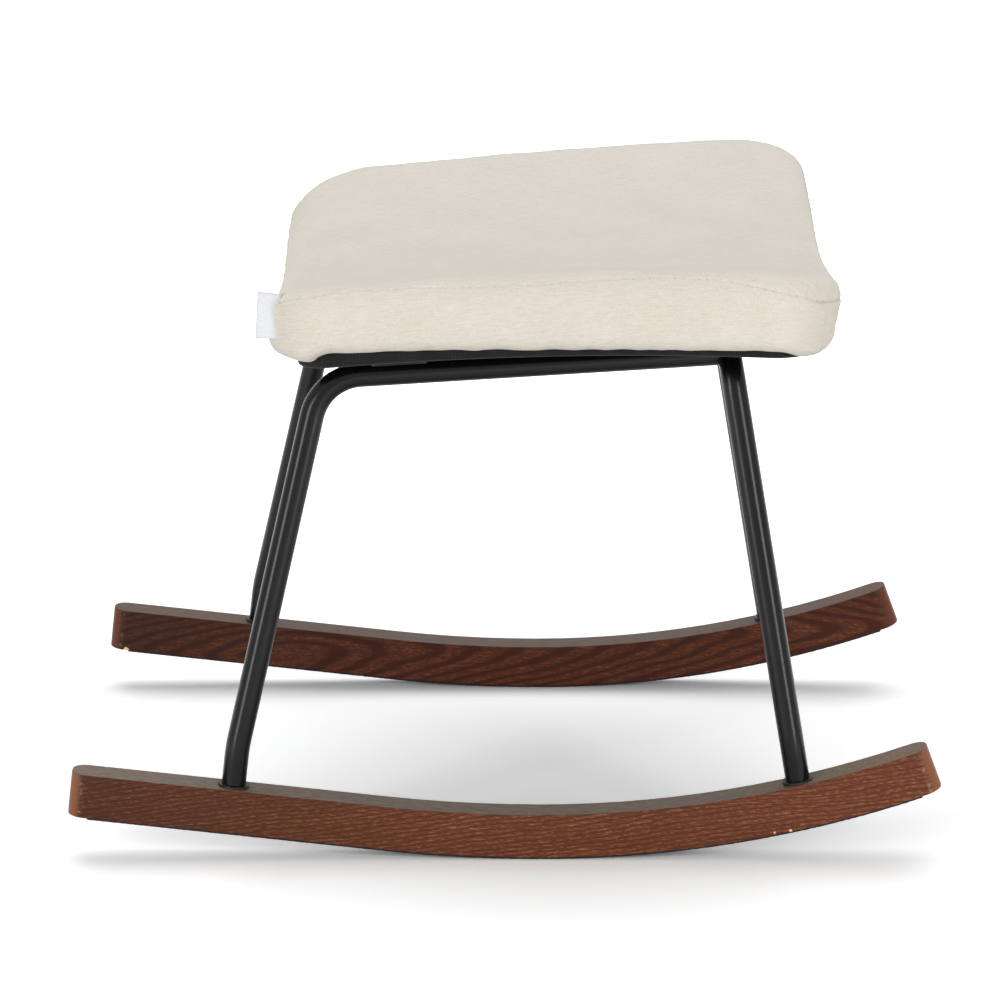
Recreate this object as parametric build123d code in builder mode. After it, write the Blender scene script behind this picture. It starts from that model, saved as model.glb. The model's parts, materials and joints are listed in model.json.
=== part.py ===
from build123d import *
import math
import os

os.makedirs("parts", exist_ok=True)

# Rocking footstool, in millimetres, +Z up. +X points at the higher, wider edge of the seat.
# The origin is on the floor, midway along the rockers and midway between them.
# Right is -Y and left is +Y, as for someone who looks along +X.

# Rockers
rocker_spacing = 420.0  # centre line to centre line
rocker_width = 26.0
rocker_thickness = 31.0
rocker_rear_reach = 326.5  # from the resting point back to the rear tip
rocker_front_reach = 276.5
rear_curve_radius = 1000.0
rear_rise = 6.3  # degrees: behind the curve the rocker runs on straight at this slope
front_curve_radius = 800.0
rocker_corner_radius = 11.0
rocker_edge_radius = 1.0
end_edge_slope = 0.7  # edges that climb more steeply than this are on the end faces

# Felt strips under the rockers
felt_thickness = 1.5
felt_side_margin = 1.5
felt_end_margin = 8.0

# Steel tube frame
tube_diameter = 16.8
tube_wall = 1.5
rear_leg_x = -187.0  # where the legs enter the rockers
front_leg_x = 202.5
foot_bend_height = 28.0  # above the rocker, along the leg
foot_bend_radius = 90.0
rear_bend_radius = 36.0
rear_corner_x = -125.5  # where the leg and rail lines would cross
rear_corner_half_width = 181.0
rear_corner_height = 332.5
hoop_bend_radius = 30.0
hoop_corner_x = 153.7
hoop_corner_half_width = 172.0
hoop_corner_height = 346.6
rail_landing_share = 0.73  # how far round the hoop's bend the rail is welded on
cross_tube_x = -35.0

# Leg sockets
socket_depth = 16.0
collar_sleeve_diameter = 19.8
collar_flange_diameter = 21.4
collar_flange_height = 1.6
socket_clearance = 0.1
end_nut_length = 10.0
counterbore_diameter = 14.0
counterbore_depth = 6.8

# M6 hardware
bolt_diameter = 6.0
bolt_clearance = 0.3
thread_clearance = 0.05
head_across_flats = 10.0
head_height = 4.0
washer_diameter = 12.5
washer_thickness = 1.2
tee_flange_diameter = 19.0
tee_flange_thickness = 1.5
tee_recess_depth = 2.3
tee_barrel_diameter = 7.8
tee_barrel_length = 9.0

# Seat: a plane that leans back, on which the board and the cushion are drawn
seat_x = 34.0
seat_height = 353.9  # underside of the board at its crown
seat_tilt = 2.3  # degrees, front edge up
seat_length = 386.0
seat_rear_width = 434.0
seat_front_width = 498.0
rear_corner_radius = 42.0
front_corner_radius = 45.0
side_draw = 3.0  # how far each side pulls in between its corners

# Seat board and the black cloth under it
board_thickness = 12.0
board_inset = 17.0
board_edge_radius = 2.0
arch_radius = 2700.0  # the board is bent a little, crown up
dust_cover_thickness = 0.5
dust_cover_inset = 5.0

# Cushion
rear_seam_angle = 12.0  # degrees between the rear corner seams and the length of the seat
front_seam_angle = 38.0
cushion_lift = 5.0  # bottom of the cushion above the underside of the board
valley_height = 36.5  # middle of the saddle above the underside of the board
saddle_radius = 960.0  # hollow from side to side
bow_radius = 1900.0  # crown from rear to front
top_edge_radius = 12.0
bottom_edge_radius = 14.0
cover_thickness = 1.5
seam_drop = 8.3  # seam below the sharp top edge that the rounding takes off

# Mounting plates, welded on the rails
plate_length = 40.0
plate_rear_x = -72.0
plate_front_x = 112.0
plate_outer_reach = 10.0
plate_inner_reach = 32.0
plate_bite = 0.9  # depth of the groove that the rail lies in
plate_corner_radius = 4.0
seat_bolt_inset = 20.0  # from the rail's centre line inwards

# Side tag in the rear right corner seam
tag_width = 15.0
tag_height = 30.0
tag_thickness = 1.0
tag_bottom_height = 8.0  # above the underside of the board

# Worked out from the sizes above
half_spacing = rocker_spacing / 2
rocker_top = felt_thickness + rocker_thickness
resting_x = (rocker_rear_reach - rocker_front_reach) / 2
rise = math.radians(rear_rise)
rear_run = (rocker_rear_reach - (rear_curve_radius - felt_thickness) * math.sin(rise)) / math.cos(rise)
front_sweep = math.asin(rocker_front_reach / (front_curve_radius - felt_thickness))
tube_radius = tube_diameter / 2
tube_bore_radius = tube_radius - tube_wall
tilt = math.radians(seat_tilt)
half_length = seat_length / 2
cutter_reach = seat_front_width  # longer than any piece that it cuts

seat_plane = Plane(
    origin=(seat_x, 0, seat_height),
    x_dir=(math.cos(tilt), 0, math.sin(tilt)),
    z_dir=(-math.sin(tilt), 0, math.cos(tilt)),
)
seat_side_plane = Plane(origin=seat_plane.origin, x_dir=seat_plane.x_dir, z_dir=(0, -1, 0))
seat_end_plane = Plane(origin=seat_plane.origin, x_dir=(0, 1, 0), z_dir=seat_plane.x_dir)


def rear_tangent(lift):
    # end of the rear curve, on a line that runs parallel to the rocking line, lift above it
    radius = rear_curve_radius - lift
    return Vector(resting_x - radius * math.sin(rise), rear_curve_radius - radius * math.cos(rise))


def rear_tip(lift, margin):
    run = rear_run - margin
    return rear_tangent(lift) + Vector(-run * math.cos(rise), run * math.sin(rise))


def front_tip(lift, margin):
    radius = front_curve_radius - lift
    sweep_angle = front_sweep - margin / front_curve_radius
    away = radius * math.sin(sweep_angle)
    return Vector(resting_x + away, front_curve_radius - radius * math.cos(sweep_angle))


def rocker_height(x, lift):
    # height at x of the line that runs parallel to the rocking line, lift above it
    away = x - resting_x
    if away > 0:
        return front_curve_radius - math.sqrt((front_curve_radius - lift) ** 2 - away**2)
    if x > rear_tangent(lift).X:
        return rear_curve_radius - math.sqrt((rear_curve_radius - lift) ** 2 - away**2)
    return rear_tangent(lift).Y + (rear_tangent(lift).X - x) * math.tan(rise)


def rocker_band(low, high, margin):
    # side view of a strip that follows the rocking line
    with BuildSketch(Plane.XZ) as band:
        with BuildLine():
            for lift in (low, high):
                Line(rear_tip(lift, margin), rear_tangent(lift))
                TangentArc((resting_x, lift), rear_tangent(lift), tangent=(-1, 0))
                TangentArc((resting_x, lift), front_tip(lift, margin), tangent=(1, 0))
            Line(rear_tip(low, margin), rear_tip(high, margin))
            Line(front_tip(low, margin), front_tip(high, margin))
        make_face()
    return band.sketch


# Legs: the foot of each leg stands square across the rocker and turns inwards a little above it
rear_foot = Vector(rear_leg_x, -half_spacing, rocker_height(rear_leg_x, rocker_top))
rear_foot_direction = Vector(math.sin(rise), 0, math.cos(rise))
rear_corner = Vector(rear_corner_x, -rear_corner_half_width, rear_corner_height)

front_foot = Vector(front_leg_x, -half_spacing, rocker_height(front_leg_x, rocker_top))
hoop_corner = Vector(hoop_corner_x, -hoop_corner_half_width, hoop_corner_height)
front_foot_direction = Vector(hoop_corner.X - front_foot.X, 0, hoop_corner.Z - front_foot.Z).normalized()


def across(point):
    # the same point on the left side
    return Vector(point.X, -point.Y, point.Z)


foot_planes = {
    "rear_right": Plane(origin=rear_foot, x_dir=(0, 1, 0), z_dir=rear_foot_direction),
    "rear_left": Plane(origin=across(rear_foot), x_dir=(0, 1, 0), z_dir=rear_foot_direction),
    "front_right": Plane(origin=front_foot, x_dir=(0, 1, 0), z_dir=front_foot_direction),
    "front_left": Plane(origin=across(front_foot), x_dir=(0, 1, 0), z_dir=front_foot_direction),
}

seat_axis = Axis(seat_plane.origin, seat_plane.z_dir)

# Rockers, sawn from solid ash
with BuildPart() as rocker_blank:
    extrude(rocker_band(felt_thickness, rocker_top, 0), amount=rocker_width / 2, both=True)
    end_faces = rocker_blank.faces().filter_by(GeomType.PLANE).filter_by(Axis.Y, reverse=True).sort_by(Axis.X)
    end_corners = end_faces[0].edges() + end_faces[-1].edges()
    fillet(end_corners.filter_by(Axis.Y, reverse=True), rocker_corner_radius)
    steep_edges = rocker_blank.edges().filter_by(lambda edge: abs((edge % 0.5).Z) > end_edge_slope)
    smooth_edges = rocker_blank.edges().filter_by(Axis.Y).group_by(SortBy.LENGTH)[-1]
    fillet(rocker_blank.edges() - steep_edges - smooth_edges, rocker_edge_radius)

for side, y in (("right", -half_spacing), ("left", half_spacing)):
    with BuildPart() as rocker:
        add(Pos(0, y, 0) * rocker_blank.part)
        for foot in (foot_planes[f"rear_{side}"], foot_planes[f"front_{side}"]):
            with BuildSketch(foot.offset(-socket_depth)):
                Circle(collar_sleeve_diameter / 2 + socket_clearance)
            extrude(amount=socket_depth * 2, mode=Mode.SUBTRACT)
            with BuildSketch(foot.offset(-rocker_thickness * 2)):
                Circle(bolt_diameter / 2 + bolt_clearance)
            extrude(amount=rocker_thickness * 2, mode=Mode.SUBTRACT)
            with BuildSketch(foot.offset(counterbore_depth - rocker_thickness)):
                Circle(counterbore_diameter / 2)
            extrude(amount=-rocker_thickness, mode=Mode.SUBTRACT)
    rocker.part.label = f"{side}_rocker"
    export_step(rocker.part, f"parts/{side}_rocker.step")

    with BuildPart() as felt_strip:
        strip = Pos(0, y, 0) * rocker_band(0, felt_thickness, felt_end_margin)
        extrude(strip, amount=rocker_width / 2 - felt_side_margin, both=True)
    felt_strip.part.label = f"{side}_felt_strip"
    export_step(felt_strip.part, f"parts/{side}_felt_strip.step")

# Collars: a sleeve round the tube in its socket, with a thin flange on the wood
for place, foot in foot_planes.items():
    with BuildPart() as collar:
        with BuildSketch(foot.offset(-collar_flange_height)):
            Circle(collar_flange_diameter / 2)
        extrude(amount=collar_flange_height * 2)
        add(Pos(0, foot.origin.Y, 0) * rocker_blank.part, mode=Mode.SUBTRACT)
        with BuildSketch(foot.offset(-socket_depth)):
            Circle(collar_sleeve_diameter / 2)
        extrude(amount=socket_depth + collar_flange_height)
        with BuildSketch(foot.offset(-socket_depth)):
            Circle(tube_radius + socket_clearance)
        extrude(amount=socket_depth * 2, mode=Mode.SUBTRACT)
    collar.part.label = f"{place}_leg_collar"
    export_step(collar.part, f"parts/{place}_leg_collar.step")

# Front hoop: both front legs and the cross bar in one bent tube
front_foot_end = front_foot - front_foot_direction * socket_depth
front_foot_bend = front_foot + front_foot_direction * foot_bend_height
hoop_points = [front_foot_end, front_foot_bend, hoop_corner]
hoop_points += [across(point) for point in reversed(hoop_points)]
hoop_radii = [foot_bend_radius, hoop_bend_radius, hoop_bend_radius, foot_bend_radius]

with BuildLine() as hoop_line:
    FilletPolyline(*hoop_points, radius=hoop_radii)
hoop_start = Plane(origin=front_foot_end, z_dir=front_foot_direction)

with BuildPart() as hoop_solid:
    with BuildSketch(hoop_start):
        Circle(tube_radius)
    sweep(path=hoop_line.line)

with BuildPart() as front_hoop_tube:
    add(hoop_solid.part)
    with BuildSketch(hoop_start):
        Circle(tube_bore_radius)
    sweep(path=hoop_line.line, mode=Mode.SUBTRACT)
front_hoop_tube.part.label = "front_hoop_tube"
export_step(front_hoop_tube.part, "parts/front_hoop_tube.step")

# Side tubes: rear leg and rail in one bent tube, coped to the bend of the hoop
hoop_bend = hoop_line.edges().filter_by(GeomType.CIRCLE).group_by(Axis.Z)[-1].sort_by(Axis.Y)[0]
rising = (hoop_bend @ 0).Z < (hoop_bend @ 1).Z
rail_end = hoop_bend @ (rail_landing_share if rising else 1 - rail_landing_share)
rear_foot_end = rear_foot - rear_foot_direction * socket_depth
rear_foot_bend = rear_foot + rear_foot_direction * foot_bend_height
rail_direction = (rail_end - rear_corner).normalized()

with BuildLine() as side_line:
    FilletPolyline(
        rear_foot_end, rear_foot_bend, rear_corner, rail_end, radius=[foot_bend_radius, rear_bend_radius]
    )
side_start = foot_planes["rear_right"].offset(-socket_depth)

with BuildPart() as side_solid:
    with BuildSketch(side_start):
        Circle(tube_radius)
    sweep(path=side_line.line)
    add(hoop_solid.part, mode=Mode.SUBTRACT)

with BuildPart() as right_side_tube:
    add(side_solid.part)
    with BuildSketch(side_start):
        Circle(tube_bore_radius)
    sweep(path=side_line.line, mode=Mode.SUBTRACT)
right_side_tube.part.label = "right_side_tube"
export_step(right_side_tube.part, "parts/right_side_tube.step")

with BuildPart() as left_side_tube:
    add(mirror(right_side_tube.part, about=Plane.XZ, mode=Mode.PRIVATE))
left_side_tube.part.label = "left_side_tube"
export_step(left_side_tube.part, "parts/left_side_tube.step")


def rail_point(x):
    return rear_corner + rail_direction * ((x - rear_corner.X) / rail_direction.X)


# Rear cross tube, coped between the rails
cross_end = rail_point(cross_tube_x)
with BuildPart() as rear_cross_tube:
    with BuildSketch(Plane(origin=cross_end, z_dir=(0, 1, 0))):
        Circle(tube_radius)
        Circle(tube_bore_radius, mode=Mode.SUBTRACT)
    extrude(amount=-2 * cross_end.Y)
    add(side_solid.part, mode=Mode.SUBTRACT)
    add(mirror(side_solid.part, about=Plane.XZ, mode=Mode.PRIVATE), mode=Mode.SUBTRACT)
    waste = rear_cross_tube.solids().sort_by(SortBy.VOLUME)[:-1]
    add(waste, mode=Mode.SUBTRACT)
rear_cross_tube.part.label = "rear_cross_tube"
export_step(rear_cross_tube.part, "parts/rear_cross_tube.step")


def hex_bolt(seat, length):
    # head below the seating plane, shank above it
    with BuildPart() as bolt:
        with BuildSketch(seat):
            RegularPolygon(head_across_flats / 2, 6, major_radius=False)
        extrude(amount=-head_height)
        with BuildSketch(seat):
            Circle(bolt_diameter / 2)
        extrude(amount=length)
    return bolt.part


def ring(seat, outer_diameter, inner_diameter, height):
    with BuildPart() as disc:
        with BuildSketch(seat):
            Circle(outer_diameter / 2)
            Circle(inner_diameter / 2, mode=Mode.SUBTRACT)
        extrude(amount=height)
    return disc.part


# Nuts welded in the leg ends, with a bolt and a washer from below each
thread_bore = bolt_diameter + 2 * thread_clearance
washer_bore = bolt_diameter + 2 * bolt_clearance
washer_level = counterbore_depth - rocker_thickness - washer_thickness
foot_bolt_length = end_nut_length - socket_depth - washer_level

with BuildPart() as leg_end_nuts:
    for foot in foot_planes.values():
        add(ring(foot.offset(-socket_depth), 2 * tube_bore_radius, thread_bore, end_nut_length))
leg_end_nuts.part.label = "leg_end_nuts"
export_step(leg_end_nuts.part, "parts/leg_end_nuts.step")

with BuildPart() as rocker_bolts:
    for foot in foot_planes.values():
        add(hex_bolt(foot.offset(washer_level), foot_bolt_length))
rocker_bolts.part.label = "rocker_bolts"
export_step(rocker_bolts.part, "parts/rocker_bolts.step")

with BuildPart() as rocker_bolt_washers:
    for foot in foot_planes.values():
        add(ring(foot.offset(washer_level), washer_diameter, washer_bore, washer_thickness))
rocker_bolt_washers.part.label = "rocker_bolt_washers"
export_step(rocker_bolt_washers.part, "parts/rocker_bolt_washers.step")


def half_width(u):
    # of the seat, at u along it from its middle
    middle = (seat_rear_width + seat_front_width) / 4
    return middle + (seat_front_width - seat_rear_width) / 2 * u / seat_length


def plan_outline(inset):
    # the seat from above: wider in front, its sides pulled in a little between rounded corners
    slant = math.atan((seat_front_width - seat_rear_width) / 2 / seat_length)
    step = inset / math.cos(slant)
    end = half_length - inset
    rear = half_width(-end) - step
    front = half_width(end) - step
    middle = half_width(0) - step - side_draw
    with BuildSketch() as outline:
        with BuildLine():
            ThreePointArc((-end, -rear), (0, -middle), (end, -front))
            ThreePointArc((end, -front), (end - side_draw, 0), (end, front))
            ThreePointArc((end, front), (0, middle), (-end, rear))
            ThreePointArc((-end, rear), (side_draw - end, 0), (-end, -rear))
        make_face()
        fillet(outline.vertices().group_by(Axis.X)[0], rear_corner_radius - inset)
        fillet(outline.vertices().group_by(Axis.X)[-1], front_corner_radius - inset)
    return outline.sketch


def plan_block(inset):
    with BuildPart() as block:
        with BuildSketch(seat_plane.offset(-half_length)):
            add(plan_outline(inset))
        extrude(amount=seat_length)
    return block.part


def arch_block(lift):
    # everything below the arch of the board, lifted
    with BuildPart() as block:
        with BuildSketch(seat_side_plane):
            with Locations((0, -arch_radius)):
                Circle(arch_radius + lift)
        extrude(amount=cutter_reach, both=True)
    return block.part


def saddle_block(lowering):
    # everything above the saddle of the cushion, lowered
    hollow = saddle_radius + lowering
    low = valley_height - lowering
    edge_height = low + hollow - math.sqrt(hollow**2 - cutter_reach**2)
    axle = Axis(seat_plane.from_local_coords((0, 0, valley_height - bow_radius)), (0, 1, 0))
    half_turn = math.degrees(math.asin(seat_length / bow_radius))
    with BuildPart() as block:
        with BuildSketch(seat_end_plane):
            with BuildLine():
                ThreePointArc((-cutter_reach, edge_height), (0, low), (cutter_reach, edge_height))
                Polyline(
                    (cutter_reach, edge_height),
                    (cutter_reach, edge_height + seat_length),
                    (-cutter_reach, edge_height + seat_length),
                    (-cutter_reach, edge_height),
                )
            make_face()
        revolve(axis=axle, revolution_arc=2 * half_turn)
    return block.part.rotate(axle, -half_turn)


def cushion_form(inset):
    # outer form of the cushion, drawn in by the same amount all over
    with BuildPart() as form:
        add(plan_block(inset))
        add(saddle_block(inset), mode=Mode.SUBTRACT)
        add(arch_block(cushion_lift + inset), mode=Mode.SUBTRACT)
        fillet(form.faces().sort_by(seat_axis)[-1].edges(), top_edge_radius - inset)
        fillet(form.faces().sort_by(seat_axis)[0].edges(), bottom_edge_radius - inset)
    return form.part


# Seat bolts: where each rises through its plate, on planes that lie on the rails
def rail_plane(x):
    upright = seat_plane.z_dir - rail_direction * seat_plane.z_dir.dot(rail_direction)
    return Plane(origin=rail_point(x), x_dir=rail_direction, z_dir=upright.normalized())


plate_planes = {"rear": rail_plane(plate_rear_x), "front": rail_plane(plate_front_x)}
plate_level = tube_radius - plate_bite


def bolt_plane(plate_plane):
    return Plane(
        origin=plate_plane.from_local_coords((0, seat_bolt_inset, plate_level)),
        x_dir=plate_plane.x_dir,
        z_dir=plate_plane.z_dir,
    )


def board_grip(seat):
    # from the seating plane of a bolt up to the top of the board
    place = seat_plane.to_local_coords(seat.origin)
    board_top = math.sqrt((arch_radius + board_thickness) ** 2 - place.X**2) - arch_radius
    return board_top - place.Z


def both_sides(piece):
    # a right piece and its mirror image
    return [piece, mirror(piece, about=Plane.XZ, mode=Mode.PRIVATE)]


# Mounting plates, each with a groove for its rail and a hole for its bolt
for place, plane in plate_planes.items():
    with BuildPart() as plate:
        with BuildSketch(plane.offset(plate_level)):
            with Locations((0, (plate_inner_reach - plate_outer_reach) / 2)):
                RectangleRounded(plate_length, plate_inner_reach + plate_outer_reach, plate_corner_radius)
        extrude(amount=board_thickness)
        add(arch_block(-dust_cover_thickness), mode=Mode.INTERSECT)
        add(side_solid.part, mode=Mode.SUBTRACT)
        with BuildSketch(plane):
            with Locations((0, seat_bolt_inset)):
                Circle(bolt_diameter / 2 + bolt_clearance)
        extrude(amount=2 * board_thickness, mode=Mode.SUBTRACT)
    for side, piece in zip(("right", "left"), both_sides(plate.part)):
        piece.label = f"{place}_{side}_seat_plate"
        export_step(piece, f"parts/{place}_{side}_seat_plate.step")

# Seat board, bent plywood, with a hole and a recess for each tee nut
with BuildPart() as bolt_holes:
    for plane in plate_planes.values():
        seat = bolt_plane(plane)
        with BuildSketch(seat):
            Circle(tee_barrel_diameter / 2 + socket_clearance)
        extrude(amount=board_grip(seat))
with BuildPart() as tee_recesses:
    for plane in plate_planes.values():
        seat = bolt_plane(plane)
        with BuildSketch(seat.offset(board_grip(seat) - tee_recess_depth)):
            Circle(tee_flange_diameter / 2 + bolt_clearance)
        extrude(amount=board_thickness)

with BuildPart() as board_blank:
    add(plan_block(board_inset))
    add(arch_block(board_thickness), mode=Mode.INTERSECT)
    add(arch_block(0), mode=Mode.SUBTRACT)
    fillet(board_blank.faces().sort_by(seat_axis)[0].edges(), board_edge_radius)

with BuildPart() as seat_board:
    add(board_blank.part)
    add(both_sides(bolt_holes.part), mode=Mode.SUBTRACT)
    add(both_sides(tee_recesses.part), mode=Mode.SUBTRACT)
seat_board.part.label = "seat_board"
export_step(seat_board.part, "parts/seat_board.step")

with BuildPart() as dust_cover:
    add(plan_block(board_inset + dust_cover_inset))
    add(arch_block(0), mode=Mode.INTERSECT)
    add(arch_block(-dust_cover_thickness), mode=Mode.SUBTRACT)
    add(both_sides(bolt_holes.part), mode=Mode.SUBTRACT)
dust_cover.part.label = "dust_cover"
export_step(dust_cover.part, "parts/dust_cover.step")

# Tee nuts in the board, with a bolt and a washer from below each
with BuildPart() as tee_nuts:
    for plane in plate_planes.values():
        seat = bolt_plane(plane)
        flange_plane = seat.offset(board_grip(seat) - tee_recess_depth)
        flange = ring(flange_plane, tee_flange_diameter, thread_bore, tee_flange_thickness)
        barrel = ring(flange_plane, tee_barrel_diameter, thread_bore, -tee_barrel_length)
        add(both_sides(flange + barrel))
tee_nuts.part.label = "tee_nuts"
export_step(tee_nuts.part, "parts/tee_nuts.step")

with BuildPart() as seat_bolts:
    for plane in plate_planes.values():
        seat = bolt_plane(plane)
        length = washer_thickness + board_grip(seat) - tee_recess_depth + tee_flange_thickness
        add(both_sides(hex_bolt(seat.offset(-washer_thickness), length)))
seat_bolts.part.label = "seat_bolts"
export_step(seat_bolts.part, "parts/seat_bolts.step")

with BuildPart() as seat_bolt_washers:
    for plane in plate_planes.values():
        seat = bolt_plane(plane).offset(-washer_thickness)
        add(both_sides(ring(seat, washer_diameter, washer_bore, washer_thickness)))
seat_bolt_washers.part.label = "seat_bolt_washers"
export_step(seat_bolt_washers.part, "parts/seat_bolt_washers.step")

# Foam pad, which wraps the board down to the tacked edge of the cover
outer_form = cushion_form(0)
inner_form = cushion_form(cover_thickness)

with BuildPart() as foam_pad:
    add(inner_form)
    add(board_blank.part, mode=Mode.SUBTRACT)
foam_pad.part.label = "foam_pad"
export_step(foam_pad.part, "parts/foam_pad.step")

# Cover: a top panel and four side panels, sewn together along the rim and at the corners
with BuildPart() as cover:
    add(outer_form)
    add(inner_form, mode=Mode.SUBTRACT)
    add(board_blank.part, mode=Mode.SUBTRACT)

with BuildPart() as cover_top_panel:
    add(cover.part)
    add(saddle_block(seam_drop), mode=Mode.INTERSECT)
cover_top_panel.part.label = "cover_top_panel"
export_step(cover_top_panel.part, "parts/cover_top_panel.step")

rear_seam_x = rear_corner_radius - half_length
rear_seam_y = seat_rear_width / 2 - rear_corner_radius
front_seam_x = half_length - front_corner_radius
front_seam_y = seat_front_width / 2 - front_corner_radius
beyond = seat_length  # from the corner centres to well outside the cushion
rear_right = (rear_seam_x, -rear_seam_y)
rear_left = (rear_seam_x, rear_seam_y)
front_right = (front_seam_x, -front_seam_y)
front_left = (front_seam_x, front_seam_y)


def outwards(corner):
    seam_angle = math.radians(front_seam_angle if corner[0] > 0 else rear_seam_angle)
    along = beyond * math.cos(seam_angle)
    aside = beyond * math.sin(seam_angle)
    return (corner[0] + math.copysign(along, corner[0]), corner[1] + math.copysign(aside, corner[1]))


side_panels = {
    "right": (rear_right, front_right),
    "front": (front_right, front_left),
    "left": (front_left, rear_left),
    "rear": (rear_left, rear_right),
}
for side, (start, end) in side_panels.items():
    with BuildPart() as panel:
        with BuildSketch(seat_plane.offset(-half_length)):
            Polygon(start, end, outwards(end), outwards(start), align=None)
        extrude(amount=seat_length)
        add(cover.part, mode=Mode.INTERSECT)
        add(saddle_block(seam_drop), mode=Mode.SUBTRACT)
    panel.part.label = f"cover_{side}_panel"
    export_step(panel.part, f"parts/cover_{side}_panel.step")

# Side tag, sewn into the rear right corner seam
tag_seam = seat_plane.from_local_coords((*rear_right, tag_bottom_height))
tag_reach = seat_plane.from_local_coords((*outwards(rear_right), tag_bottom_height)) - tag_seam
tag_plane = Plane(origin=tag_seam, x_dir=tag_reach, z_dir=tag_reach.cross(seat_plane.z_dir))
with BuildPart() as side_tag:
    with BuildSketch(tag_plane):
        with Locations((rear_corner_radius, tag_height / 2)):
            Rectangle(tag_width * 2, tag_height)
    extrude(amount=tag_thickness / 2, both=True)
    add(outer_form, mode=Mode.SUBTRACT)
side_tag.part.label = "side_tag"
export_step(side_tag.part, "parts/side_tag.step")
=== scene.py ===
import json
import math

import bpy
import numpy as np
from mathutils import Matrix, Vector


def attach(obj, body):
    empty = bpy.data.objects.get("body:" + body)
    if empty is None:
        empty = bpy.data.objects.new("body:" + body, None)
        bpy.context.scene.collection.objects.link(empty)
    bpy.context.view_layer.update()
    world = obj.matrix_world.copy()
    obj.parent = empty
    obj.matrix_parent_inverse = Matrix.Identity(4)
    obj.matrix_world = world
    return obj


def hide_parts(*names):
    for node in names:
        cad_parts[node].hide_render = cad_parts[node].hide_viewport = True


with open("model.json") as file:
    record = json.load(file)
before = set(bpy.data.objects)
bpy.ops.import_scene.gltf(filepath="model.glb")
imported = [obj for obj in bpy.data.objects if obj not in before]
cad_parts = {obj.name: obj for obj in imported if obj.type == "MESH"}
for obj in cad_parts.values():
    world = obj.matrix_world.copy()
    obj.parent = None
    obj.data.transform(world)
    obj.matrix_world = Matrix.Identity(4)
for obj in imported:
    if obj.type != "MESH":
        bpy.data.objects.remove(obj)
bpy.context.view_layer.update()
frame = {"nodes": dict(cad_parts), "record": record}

nodes = frame["nodes"]
mm = 0.001


# small helpers for shader nodes and meshes

def addNode(tree, kind, values=None, sources=None, **settings):
    made = tree.nodes.new("ShaderNode" + kind)
    for key, value in settings.items():
        setattr(made, key, value)
    for key, value in (values or {}).items():
        made.inputs[key].default_value = value
    for key, source in (sources or {}).items():
        tree.links.new(source, made.inputs[key])
    return made


def feed(tree, socket, value):
    # value is a number, a colour or another node's output
    if isinstance(value, (int, float)):
        socket.default_value = value
    elif isinstance(value, tuple):
        socket.default_value = (*value, 1)
    else:
        tree.links.new(value, socket)


def calc(tree, operation, *values):
    made = addNode(tree, "Math", operation=operation)
    for index, value in enumerate(values):
        feed(tree, made.inputs[index], value)
    return made.outputs[0]


def stretched(tree, source, scale, shift=(0, 0, 0)):
    return addNode(tree, "Mapping", {"Scale": scale, "Location": shift}, {"Vector": source}).outputs[0]


def noise(tree, source, scale, detail=2.0, roughness=0.5):
    values = {"Scale": scale, "Detail": detail, "Roughness": roughness}
    return addNode(tree, "TexNoise", values, {"Vector": source}).outputs["Fac"]


def spread(tree, source, low, high, toLow=0.0, toHigh=1.0):
    values = {"From Min": low, "From Max": high, "To Min": toLow, "To Max": toHigh}
    return addNode(tree, "MapRange", values, {"Value": source}, clamp=True).outputs["Result"]


def blendColours(tree, factor, first, second, way="MIX"):
    made = addNode(tree, "Mix", data_type="RGBA", blend_type=way)
    for index, value in ((0, factor), (6, first), (7, second)):
        feed(tree, made.inputs[index], value)
    return made.outputs[2]


def newMaterial(name, colour, roughness, specular=0.5, sheen=0.0):
    made = bpy.data.materials.new(name)
    made.use_nodes = True
    shader = made.node_tree.nodes["Principled BSDF"]
    shader.inputs["Base Color"].default_value = (*colour, 1)
    shader.inputs["Roughness"].default_value = roughness
    shader.inputs["Specular IOR Level"].default_value = specular
    shader.inputs["Sheen Weight"].default_value = sheen
    return made, made.node_tree, shader


def objectPlace(tree):
    return addNode(tree, "TexCoord").outputs["Object"]


def distanceTo(tree, place, spot):
    return addNode(tree, "VectorMath", {1: spot}, {0: place}, operation="DISTANCE").outputs["Value"]


def seenRay(tree):
    # 1 for rays that show a surface to the camera, directly, in a reflection or through glass
    paths = addNode(tree, "LightPath")
    seen = calc(tree, "MAXIMUM", paths.outputs["Is Camera Ray"], paths.outputs["Is Glossy Ray"])
    return calc(tree, "MAXIMUM", seen, paths.outputs["Is Transmission Ray"])


def dimmed(colour, share):
    return tuple(share * c for c in colour)


def addBump(tree, shader, height, strength, distance):
    made = addNode(tree, "Bump", {"Strength": strength, "Distance": distance}, {"Height": height})
    tree.links.new(made.outputs[0], shader.inputs["Normal"])


def dress(nodeName, material):
    skins = nodes[nodeName].data.materials
    skins.clear()
    skins.append(material)


def makePiece(name, points, faces, material):
    mesh = bpy.data.meshes.new(name)
    mesh.from_pydata([tuple(p) for p in points], [], faces)
    mesh.polygons.foreach_set("use_smooth", [True] * len(mesh.polygons))
    mesh.materials.append(material)
    mesh.update()
    piece = bpy.data.objects.new(name, mesh)
    bpy.context.scene.collection.objects.link(piece)
    return piece


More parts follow.
